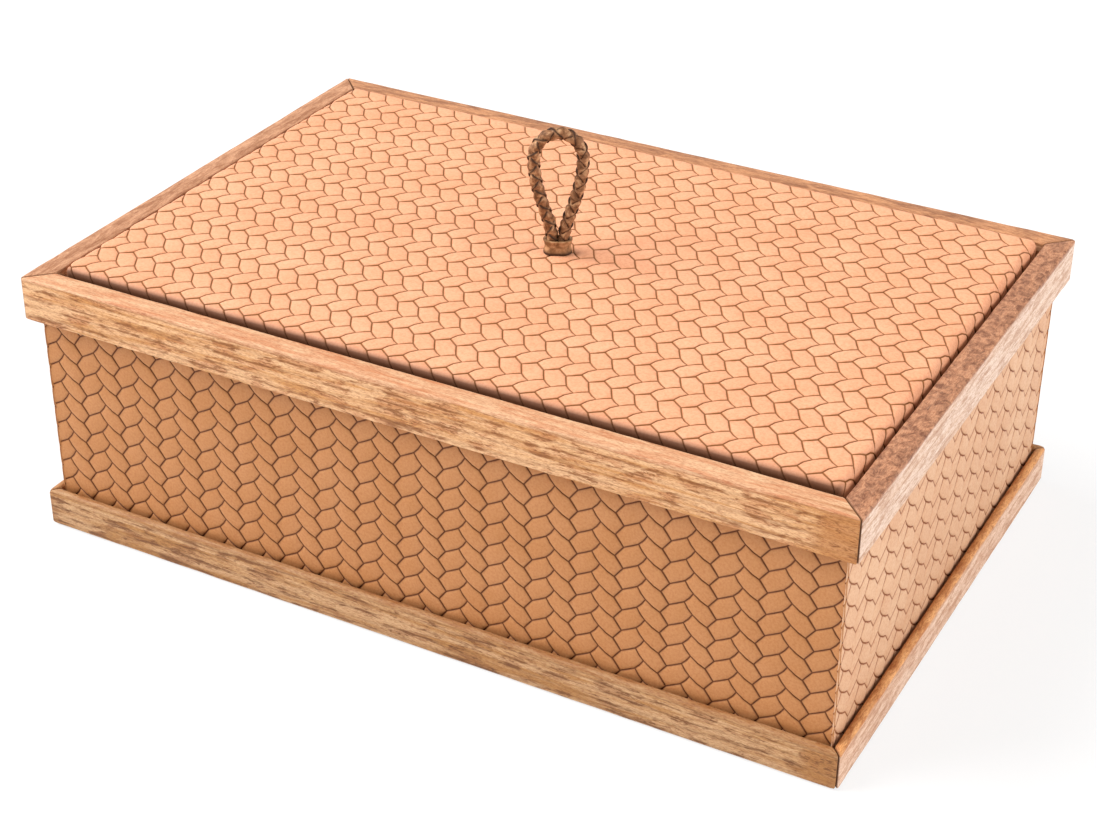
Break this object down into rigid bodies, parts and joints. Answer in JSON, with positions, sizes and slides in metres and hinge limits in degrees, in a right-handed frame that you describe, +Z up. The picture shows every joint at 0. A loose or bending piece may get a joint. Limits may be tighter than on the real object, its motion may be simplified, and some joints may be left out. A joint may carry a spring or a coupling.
{
  "type": "stationery box",
  "caption": "Lidded desk box with mitred wood mouldings at base and rim, walls and drop-in padded lid in leather embossed with a plaited pattern, and a braided pull loop.",
  "frame": {"origin": "centre of the base, on the surface the box stands on", "axes": "+X along the length, -Y towards the front, +Z up"},
  "size_m": [0.305, 0.203, 0.1488],
  "materials": {
    "hardwood": "oiled satin",
    "fibreboard": "raw",
    "embossed_leather": "matte",
    "braid_leather": "satin",
    "suede": "napped",
    "felt": "matte",
    "foam": "matte",
    "steel": "satin"
  },
  "bodies": {
    "box": {"base_rail_front": "hardwood", "base_rail_back": "hardwood", "base_rail_left": "hardwood", "base_rail_right": "hardwood", "floor_board": "fibreboard", "base_felt": "felt", "floor_lining": "suede", "wall_front": "fibreboard", "wall_back": "fibreboard", "wall_left": "fibreboard", "wall_right": "fibreboard", "leather_front": "embossed_leather", "leather_back": "embossed_leather", "leather_left": "embossed_leather", "leather_right": "embossed_leather", "lining_front": "suede", "lining_back": "suede", "lining_left": "suede", "lining_right": "suede", "rim_rail_front": "hardwood", "rim_rail_back": "hardwood", "rim_rail_left": "hardwood", "rim_rail_right": "hardwood"},
    "lid": {"lid_board": "fibreboard", "lid_padding": "foam", "lid_leather": "embossed_leather", "lid_lining": "suede", "pull_loop": "braid_leather", "pull_collar": "braid_leather", "pull_tacks": "steel"}
  },
  "joints": [
    {"name": "lid_lift", "type": "slide", "parent": "box", "child": "lid", "axis": [0, 0, 1], "range_m": [0, 0.12]}
  ]
}
